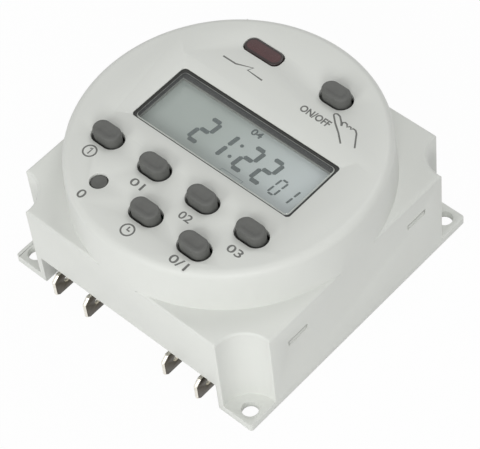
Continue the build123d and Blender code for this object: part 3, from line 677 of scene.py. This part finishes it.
@dataclass
class Printing:
    """Flat printed marks: words, lines and rings on one level.

    Attributes:
        level: Height of the printed surface, metres.
        depth: Thickness of the print, mm.
        line: Width of a drawn line, mm.
        weight: Extra weight of a letter's strokes, as a share of its size.
    """

    level: float
    depth: float = 0.03
    line: float = 0.33
    weight: float = 0.012

    def word(self, text: str, left: float, right: float, low: float, high: float) -> bpy.types.Object:
        """Print a word or number that fills a box.

        Args:
            text: The word.
            left, right, low, high: Edges of the box, mm.

        Returns:
            The word as a mesh.
        """
        bpy.ops.object.text_add(location=(0, 0, 0))
        piece = name_active("word")
        piece.data.body = text
        piece.data.size = 1.0
        piece.data.extrude = 0.5
        piece.data.offset = self.weight
        piece.data.resolution_u = 4
        hold(piece)
        bpy.ops.object.convert(target="MESH")
        piece = name_active("word")
        start, end = size_of(piece)
        scale_x = (right - left) * MM / (end.x - start.x)
        scale_y = (high - low) * MM / (end.y - start.y)
        piece.scale = (scale_x, scale_y, self.depth * MM)
        piece.location = (left * MM - start.x * scale_x, low * MM - start.y * scale_y, self.level)
        return settle(piece)

    def stroke(self, points: Iterable[Point], closed: bool = False) -> bpy.types.Object:
        """Draw a line through points.

        Args:
            points: Places on the surface, mm.
            closed: True to join the last point to the first.

        Returns:
            The line as a flat closed mesh.
        """
        places = list(points)
        curve = bpy.data.curves.new("stroke", "CURVE")
        curve.dimensions = "3D"
        spline = curve.splines.new("POLY")
        spline.points.add(len(places) - 1)
        for point, place in zip(spline.points, places):
            point.co = (place[0] * MM, place[1] * MM, 0, 1)
        spline.use_cyclic_u = closed
        curve.bevel_depth = self.line / 2 * MM
        curve.bevel_resolution = 2
        curve.use_fill_caps = not closed
        piece = add_object("stroke", curve)
        hold(piece)
        bpy.ops.object.convert(target="MESH")
        piece = name_active("stroke")
        piece.scale = (1, 1, self.depth / self.line)
        piece.location = (0, 0, self.level)
        return settle(piece)

    def ring(self, x: float, y: float, radius: float, steps: int = 40) -> bpy.types.Object:
        """Draw a ring.

        Args:
            x, y: Centre, mm.
            radius: Radius, mm.
            steps: Points round the ring.

        Returns:
            The ring as a mesh.
        """
        angles = [2 * math.pi * step / steps for step in range(steps)]
        return self.stroke([(x + radius * math.cos(a), y + radius * math.sin(a)) for a in angles], closed=True)


@dataclass
class FaceLegends:
    """Plain generic marks beside the keys, and the two line symbols of the face.

    Attributes:
        upper_low: Lower edge of the numbers under the upper row of keys, mm.
        upper_high: Their upper edge, mm.
        word_weight: Extra weight of the word at the manual key, as a share of its size.
    """

    upper_low: float = -18.15
    upper_high: float = -16.45
    word_weight: float = 0.03

    def build(self, shop: Workshop) -> None:
        """Print every mark on the face.

        Args:
            shop: The workshop.
        """
        ink = Printing(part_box("front_housing")[1][2])
        marks = {
            "legend_program": self._program(ink),
            "legend_day": [ink.word("01", -7.2, -4.3, self.upper_low, self.upper_high)],
            "legend_hour": [ink.word("02", 4.6, 7.3, self.upper_low, self.upper_high)],
            "legend_minute": [ink.word("03", 16.0, 19.2, self.upper_low, self.upper_high)],
            "legend_reset": [ink.word("0", -12.75, -11.2, -26.0, -24.1)],
            "legend_clock": self._clock(ink),
            "legend_recall": [ink.word("0/1", 9.7, 13.6, -26.05, -24.25)],
            "legend_manual": [replace(ink, weight=self.word_weight).word("ON/OFF", 5.2, 12.0, 13.25, 14.8)],
            "symbol_hand": self._hand(ink),
            "symbol_contact": self._contact(ink),
        }
        for name, parts in marks.items():
            shop.seat(join(parts, name), "print_grey")

    @staticmethod
    def _program(ink: Printing) -> list[bpy.types.Object]:
        """Draw a ringed numeral beside the programme key."""
        numeral = [(-17.95, -16.75), (-17.55, -16.5), (-17.55, -17.95)]
        return [ink.ring(-17.65, -17.23, 1.26), ink.stroke(numeral)]

    @staticmethod
    def _clock(ink: Printing) -> list[bpy.types.Object]:
        """Draw a small clock dial beside the clock key."""
        return [ink.ring(-0.05, -25.7, 1.24), ink.stroke([(-0.15, -24.95), (-0.15, -25.75), (0.5, -25.75)])]

    @staticmethod
    def _hand(ink: Printing) -> list[bpy.types.Object]:
        """Draw a hand that points at the manual key."""
        back = [(16.25, 12.0), (14.4, 13.6), (12.5, 14.95), (11.0, 16.25), (11.0, 16.6), (11.4, 16.85), (12.1, 16.7)]
        back += [(13.1, 15.9), (13.75, 15.15)]
        knuckles = [(13.75, 15.15), (13.45, 15.95), (13.8, 16.2), (14.3, 16.1), (14.7, 15.6), (15.0, 15.98)]
        knuckles += [(15.35, 15.95), (15.5, 15.6), (15.85, 16.0), (16.4, 15.95), (17.0, 15.5), (18.9, 12.75)]
        return [ink.stroke(back), ink.stroke(knuckles)]

    @staticmethod
    def _contact(ink: Printing) -> list[bpy.types.Object]:
        """Draw an open switch contact under the lens."""
        arm = [(-14.1, 14.3), (-11.0, 14.3), (-7.7, 15.55), (-8.25, 14.5), (-4.5, 14.3)]
        return [ink.stroke(arm)]


@dataclass
class Digit:
    """A seven-segment digit of the display.

    Attributes:
        value: The digit shown.
        left: Left edge at its middle height, mm.
        low: Lower edge, mm.
        width: Width, mm.
        height: Height, mm.
        stroke: Width of a segment, mm.
    """

    value: str
    left: float
    low: float
    width: float
    height: float
    stroke: float

    def segments(self) -> list[tuple[float, float, float, bool]]:
        """List the lit segments.

        Returns:
            Middle x, middle y, length and whether it lies flat, for each.
        """
        left = self.left + self.stroke / 2
        right = self.left + self.width - self.stroke / 2
        low = self.low + self.stroke / 2
        high = self.low + self.height - self.stroke / 2
        middle = (low + high) / 2
        centre = (left + right) / 2
        flat = right - left
        upright = (high - low) / 2
        table = {
            "a": (centre, high, flat, True),
            "g": (centre, middle, flat, True),
            "d": (centre, low, flat, True),
            "f": (left, (middle + high) / 2, upright, False),
            "b": (right, (middle + high) / 2, upright, False),
            "e": (left, (low + middle) / 2, upright, False),
            "c": (right, (low + middle) / 2, upright, False),
        }
        return [table[segment] for segment in LIT_SEGMENTS[self.value]]


@dataclass
class DisplayUnit:
    """The liquid crystal display: its pane, its frame and what stands on the glass.

    Attributes:
        slant: Lean of the digits, degrees.
        gap: Gap between neighbouring segments, mm.
        depth: Thickness of a segment, mm.
        pane_bevel: Width of the slope round the raised middle of the pane, mm.
        frame_round: Width of the broken edges of the frame, mm.
        near_shift: How far the near long side of the raised middle lies towards the reader, mm.
        far_shift: How far the far long inner wall of the frame lies towards the reader, mm.
        right_shift: How far the right side of the raised middle lies outwards, mm.
        pane_rim: Width of the pane's flange that stays, mm.
        frame_rim: Width of the frame's rim that stays, mm.
        digits: The digits shown.
        colon: Centres of the colon's dots, mm.
        colon_radius: Radius of a dot, mm.
        number_box: Left, right, lower and upper edge of the small number over the digits, mm.
        number_weight: Extra weight of its strokes, as a share of its size.
        bar_box: Left, right, lower and upper edge of the faint empty bar under the digits, mm.
        bar_lean: How far the bar's upper side lies to the right of its lower one, mm.
        bar_line: Width of the bar's outline, mm.
        wall_slope: A face of the frame is a wall when its normal has this share of up, or less.
    """

    slant: float = 6.0
    gap: float = 0.3
    depth: float = 0.03
    pane_bevel: float = 0.16
    frame_round: float = 0.06
    near_shift: float = 0.4
    far_shift: float = 0.6
    right_shift: float = 0.15
    pane_rim: float = 1.5
    frame_rim: float = 2.2
    digits: tuple[Digit, ...] = (
        Digit("2", -8.25, -2.74, 3.36, 6.93, 0.92),
        Digit("1", -3.85, -2.74, 3.4, 6.93, 0.92),
        Digit("2", 2.4, -2.74, 3.34, 6.93, 0.92),
        Digit("2", 6.85, -2.74, 3.36, 6.93, 0.92),
        Digit("0", 11.5, -2.8, 1.9, 4.17, 0.42),
        Digit("1", 14.35, -2.8, 1.95, 4.17, 0.42),
    )
    colon: tuple[Point, ...] = ((1.15, 2.3), (0.98, -0.85))
    colon_radius: float = 0.38
    number_box: tuple[float, float, float, float] = (0.2, 2.6, 5.35, 6.85)
    number_weight: float = 0.03
    bar_box: tuple[float, float, float, float] = (1.6, 6.6, -4.5, -3.65)
    bar_lean: float = 0.2
    bar_line: float = 0.2
    wall_slope: float = 0.5

    def build(self, shop: Workshop) -> None:
        """Make the pane, the frame, the digits, the colon and the small marks.

        Args:
            shop: The workshop.
        """
        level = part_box("lcd_front_glass")[1][2]
        bar = self._bar()
        for number, digit in enumerate(self.digits, start=1):
            parts = [self._place(bar, digit, segment, level) for segment in digit.segments()]
            shop.seat(join(parts, f"display_digit_{number}"), "segment_dark")
        bpy.data.objects.remove(bar, do_unlink=True)
        shop.seat(self._dots(level), "segment_dark")
        self._small_marks(shop, level)
        self._pane(shop)
        self._frame(shop)

    @staticmethod
    def _bar() -> bpy.types.Object:
        """Model one segment of unit length and width with pointed ends."""
        bpy.ops.mesh.primitive_cylinder_add(vertices=6, radius=1 / math.sqrt(3), depth=1, rotation=(0, 0, math.pi / 6))
        return settle(name_active("segment"))

    def _place(
        self, bar: bpy.types.Object, digit: Digit, segment: tuple[float, float, float, bool], level: float
    ) -> bpy.types.Object:
        """Copy the unit segment to one place of a digit.

        Args:
            bar: The unit segment.
            digit: The digit.
            segment: Middle, length and direction.
            level: Height of the glass, metres.

        Returns:
            The placed segment.
        """
        x, y, length, flat = segment
        piece = add_object("segment", bar.data.copy())
        hold(piece)
        bpy.ops.object.mode_set(mode="EDIT")
        reach = (length - self.gap - digit.stroke * 2 / math.sqrt(3)) / 2
        bpy.ops.mesh.select_all(action="SELECT")
        bpy.ops.transform.resize(value=(digit.stroke * MM, digit.stroke * MM, self.depth * MM))
        if not flat:
            bpy.ops.transform.rotate(value=math.pi / 2, orient_axis="Z", center_override=(0, 0, 0))
        for side in (-1, 1):
            pick_vertices(piece, lambda place: (place.x if flat else place.y) * side > 1e-7)
            bpy.ops.transform.translate(value=(side * reach * MM, 0, 0) if flat else (0, side * reach * MM, 0))
        bpy.ops.object.mode_set(mode="OBJECT")
        slope = math.tan(math.radians(self.slant))
        if not flat:
            piece.data.transform(Matrix(((1, slope, 0, 0), (0, 1, 0, 0), (0, 0, 1, 0), (0, 0, 0, 1))))
        lean = slope * (y - digit.low - digit.height / 2)
        piece.data.transform(Matrix.Translation(((x + lean) * MM, y * MM, level)))
        return piece

    def _dots(self, level: float) -> bpy.types.Object:
        """Make the two dots of the colon.

        Args:
            level: Height of the glass, metres.

        Returns:
            The dots.
        """
        dots = []
        for x, y in self.colon:
            bpy.ops.mesh.primitive_cylinder_add(
                vertices=16, radius=self.colon_radius * MM, depth=self.depth * MM, location=(x * MM, y * MM, level)
            )
            dots.append(settle(name_active("dot")))
        return join(dots, "display_colon")

    def _small_marks(self, shop: Workshop, level: float) -> None:
        """Make the small number over the digits and the faint empty bar under them.

        Args:
            shop: The workshop.
            level: Height of the glass, metres.
        """
        number = Printing(level, self.depth, weight=self.number_weight).word("04", *self.number_box)
        number.name = "display_small_number"
        left, right, low, high = self.bar_box
        corners = [(left, low), (right, low), (right + self.bar_lean, high), (left + self.bar_lean, high)]
        bar = Printing(level, self.depth, line=self.bar_line).stroke(corners, closed=True)
        bar.name = "display_empty_bar"
        shop.seat(number, "segment_dark")
        shop.seat(bar, "segment_faint")

    def _pane(self, shop: Workshop) -> None:
        """Make the clear pane, whose raised middle has a slope all round that carries a painted glint.

        Args:
            shop: The workshop.
        """
        pane = shop.copy_node("display_window", "window_pane")
        low, high = (Vector(corner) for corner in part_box("display_window"))
        bpy.ops.object.mode_set(mode="EDIT")
        for side, reach in (((0, -1, 0), self.near_shift), ((1, 0, 0), self.right_shift)):
            self._slide(pane, (low.z + high.z) / 2, self.pane_rim, low, high, Vector(side), reach)
        top = high.z - LEVEL_ROOM * MM
        pick_faces(pane, lambda face: face.normal.z > FACING and face.calc_center_median().z > top)
        bpy.ops.mesh.bevel(offset=self.pane_bevel * MM, segments=1, affect="EDGES")
        bpy.ops.object.mode_set(mode="OBJECT")

        def finish(face: bpy.types.MeshPolygon) -> int:
            """Choose clear plastic, the slope with its painted glint, or the black flange."""
            faces_up = face.normal.z > FACING
            if max(pane.data.vertices[v].co.z for v in face.vertices) > top:
                return 0 if faces_up else 1
            return 2 if faces_up else 0

        shop.paint(pane, ("window_plastic", "pane_edge_painted_glint", "display_frame"), finish)
        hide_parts("display_window")
        shop.seat(pane, "window_plastic")

    @staticmethod
    def _slide(
        piece: bpy.types.Object, above: float, rim: float, low: Vector, high: Vector, side: Vector, reach: float
    ) -> None:
        """Slide one side of a piece's middle outwards in edit mode, and leave its rim.

        Args:
            piece: The piece in edit mode.
            above: Only vertices over this height move, metres.
            rim: Width of the rim that stays, mm.
            low: Lowest corner of the piece.
            high: Highest corner of the piece.
            side: Direction of the side that moves.
            reach: How far it moves, mm.
        """
        middle = (low + high) / 2
        room = (high - low) / 2 - Vector((rim, rim, 0)) * MM

        def inside(place: Vector) -> bool:
            """Tell whether a vertex is on the side that moves."""
            away = place - middle
            return place.z > above and abs(away.x) < room.x and abs(away.y) < room.y and away.dot(side) > 0

        pick_vertices(piece, inside)
        bpy.ops.transform.translate(value=side * reach * MM)

    def _frame(self, shop: Workshop) -> None:
        """Make the display's frame: black on top, with grey inner walls; this split by which way a face points is
        painted shade of the recess round the display.

        Args:
            shop: The workshop.
        """
        frame = shop.copy_node("lcd_frame", "display_bezel")
        low, high = (Vector(corner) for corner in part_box("lcd_frame"))
        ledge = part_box("lcd_front_glass")[1][2] - LEVEL_ROOM * MM
        bpy.ops.object.mode_set(mode="EDIT")
        shifts = (((0, -1, 0), self.near_shift), ((0, 1, 0), -self.far_shift), ((1, 0, 0), self.right_shift))
        for side, reach in shifts:
            self._slide(frame, ledge, self.frame_rim, low, high, Vector(side), reach)
        bpy.ops.object.mode_set(mode="OBJECT")
        soften(frame, self.frame_round)
        # Top faces black and walls grey: painted shade of the display's recess.
        shop.paint(frame, ("display_frame", "frame_wall_painted_shade"), lambda face: int(face.normal.z <= self.wall_slope))
        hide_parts("lcd_frame")
        shop.seat(frame, "display_frame")


@dataclass
class TerminalRow:
    """Four upright push-on blades: broad faces painted dark in place of the reflections of bare metal, and edges
    painted with a light highlight.

    Attributes:
        count: Number of blades.
        edge_round: Width of the broken edge, mm.
        edge_angle: Edges sharper than this are broken, degrees.
    """

    count: int = 4
    edge_round: float = 0.07
    edge_angle: float = 25.0

    def build(self, shop: Workshop) -> None:
        """Make every blade in place of its node.

        Args:
            shop: The workshop.
        """
        for number in range(1, self.count + 1):
            node = f"terminal_tab_{number}"
            blade = shop.copy_node(node, f"blade_{number}")
            soften(blade, self.edge_round, self.edge_angle)
            # The blades' edges, the faces that do not look along X, get a painted highlight.
            shop.paint(blade, ("tab_metal", "blade_edge_painted_highlight"), lambda face: int(abs(face.normal.x) <= FACING))
            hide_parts(node)
            shop.seat(blade, "tab_metal")


@dataclass
class CarriedNodes:
    """The CAD nodes that are shown as they are, each in the finish of its material slot."""

    def build(self, shop: Workshop) -> None:
        """Give each node its material.

        Args:
            shop: The workshop.
        """
        slots = {row["node"]: row["material_slot"] for row in shop.frame["record"]["subparts"]}
        for name, node in shop.frame["nodes"].items():
            node.data.materials.clear()
            node.data.materials.append(shop.material(slots[name]))
        LOG.info("%d carried nodes dressed", len(slots))


@dataclass(frozen=True)
class Lamp:
    """A soft square lamp that faces the object.

    Attributes:
        name: Name of the lamp.
        place: Its place, mm.
        power: Power, watts.
        size: Side of the square, mm.
    """

    name: str
    place: tuple[float, float, float]
    power: float
    size: float = 300.0

    def hang(self) -> None:
        """Put the lamp in the scene."""
        data = bpy.data.lights.new(self.name, "AREA")
        data.size = self.size * MM
        data.energy = self.power
        lamp = add_object(self.name, data)
        spot = Vector(self.place) * MM
        lamp.matrix_world = Matrix.Translation(spot) @ spot.to_track_quat("Z", "Y").to_matrix().to_4x4()


@dataclass
class Studio:
    """Plain white studio: floor, world, lamps and the camera at the photograph's view.

    Attributes:
        azimuth: Camera azimuth, degrees, 0 looks along +Y.
        elevation: Camera elevation, degrees.
        roll: Camera roll, degrees.
        target: Point that the camera looks at, mm.
        distance: Distance of the camera from the target, mm.
        focal_length: Lens, mm, on a sensor of the width below.
        sensor: Sensor width, mm.
        clip: Nearest and farthest distance that the camera sees, mm.
        ambient: Strength of the light from all round.
        floor_size: Side of the floor, mm.
        floor_drop: How far the floor lies under the object, mm.
        floor_grey: Colour of the floor that takes the shadow, as a share of white.
        floor_glow: Share of plain white in the floor where it is seen.
        lamps: The lamps.
    """

    azimuth: float = 48.07
    elevation: float = 52.65
    roll: float = -7.31
    target: tuple[float, float, float] = (5.80, -4.77, 15.0)
    distance: float = 403.03
    focal_length: float = 166.54
    sensor: float = 36.0
    clip: tuple[float, float] = (10.0, 10000.0)
    ambient: float = 0.46
    floor_size: float = 4000.0
    floor_drop: float = 0.02
    floor_grey: float = 0.8
    floor_glow: float = 0.965
    lamps: tuple[Lamp, ...] = (
        Lamp("lamp_front", (0.0, -750.0, 400.0), 2.0),
        Lamp("lamp_front_right", (530.0, -530.0, 400.0), 2.15),
        Lamp("lamp_back", (0.0, 490.0, 700.0), 1.3),
    )

    def build(self) -> None:
        """Set the stage."""
        self._camera()
        self._world()
        self._floor()
        for lamp in self.lamps:
            lamp.hang()
        bpy.context.scene.view_settings.view_transform = "Standard"

    def _camera(self) -> None:
        """Place the camera on the fitted view."""
        az, el, roll = (math.radians(angle) for angle in (self.azimuth, self.elevation, self.roll))
        back = Vector((math.sin(az) * math.cos(el), -math.cos(az) * math.cos(el), math.sin(el)))
        right = Vector((0, 0, 1)).cross(back).normalized()
        up = back.cross(right)
        right_rolled = math.cos(roll) * right + math.sin(roll) * up
        up_rolled = -math.sin(roll) * right + math.cos(roll) * up
        data = bpy.data.cameras.new("view")
        data.lens = self.focal_length
        data.sensor_width = self.sensor
        data.clip_start, data.clip_end = self.clip[0] * MM, self.clip[1] * MM
        camera = add_object("view", data)
        turn = Matrix((right_rolled, up_rolled, back)).transposed().to_4x4()
        eye = (Vector(self.target) + back * self.distance) * MM
        camera.matrix_world = Matrix.Translation(eye) @ turn
        bpy.context.scene.camera = camera

    def _world(self) -> None:
        """Light the object evenly from all round, before a white background."""
        world = bpy.data.worlds.new("studio")
        bpy.context.scene.world = world
        world.use_nodes = True
        nodes = world.node_tree.nodes
        link = world.node_tree.links.new
        background = set_inputs(nodes["Background"], {"Color": (1, 1, 1, 1)})
        link(self._seen(nodes, link, self.ambient, 1.0), background.inputs["Strength"])

    @staticmethod
    def _seen(nodes: bpy.types.Nodes, link: Callable, plain: float, seen: float) -> bpy.types.NodeSocket:
        """Choose a strength by whether the background is seen, straight, in gloss or through glass.

        Args:
            nodes: Nodes of the material or world.
            link: The function that links two sockets.
            plain: Strength for light that falls on the object.
            seen: Strength for what is seen.

        Returns:
            The socket that carries the strength.
        """
        path = nodes.new("ShaderNodeLightPath")
        looked = path.outputs["Is Camera Ray"]
        for ray in ("Is Glossy Ray", "Is Transmission Ray"):
            larger = nodes.new("ShaderNodeMath")
            larger.operation = "MAXIMUM"
            link(looked, larger.inputs[0])
            link(path.outputs[ray], larger.inputs[1])
            looked = larger.outputs[0]
        spread = set_inputs(nodes.new("ShaderNodeMapRange"), {"To Min": plain, "To Max": seen})
        link(looked, spread.inputs["Value"])
        return spread.outputs["Result"]

    def _floor(self) -> None:
        """Lay a white floor that keeps a faint shadow."""
        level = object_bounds()[0][2] - self.floor_drop * MM
        bpy.ops.mesh.primitive_plane_add(size=self.floor_size * MM, location=(0, 0, level))
        floor = name_active("floor")
        material = bpy.data.materials.new("floor_white")
        material.use_nodes = True
        nodes = material.node_tree.nodes
        link = material.node_tree.links.new
        shader = set_inputs(nodes["Principled BSDF"], {
            "Base Color": (*[self.floor_grey] * 3, 1),
            "Roughness": 1.0,
            "Specular IOR Level": 0.0,
        })
        glow = nodes.new("ShaderNodeEmission")
        blend = nodes.new("ShaderNodeMixShader")
        link(self._seen(nodes, link, 0.0, self.floor_glow), blend.inputs["Fac"])
        link(shader.outputs["BSDF"], blend.inputs[1])
        link(glow.outputs["Emission"], blend.inputs[2])
        link(blend.outputs["Shader"], nodes["Material Output"].inputs["Surface"])
        floor.data.materials.append(material)
        floor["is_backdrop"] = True


def main() -> None:
    """Build every sub-assembly in order."""
    logging.basicConfig(level=logging.INFO, format="%(message)s")
    shop = Workshop(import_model())
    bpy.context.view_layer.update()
    CarriedNodes().build(shop)
    CaseShell().build(shop)
    KeyPanel().build(shop)
    DisplayUnit().build(shop)
    FaceLegends().build(shop)
    TerminalRow().build(shop)
    Studio().build()


if __name__ == "__main__":
    main()
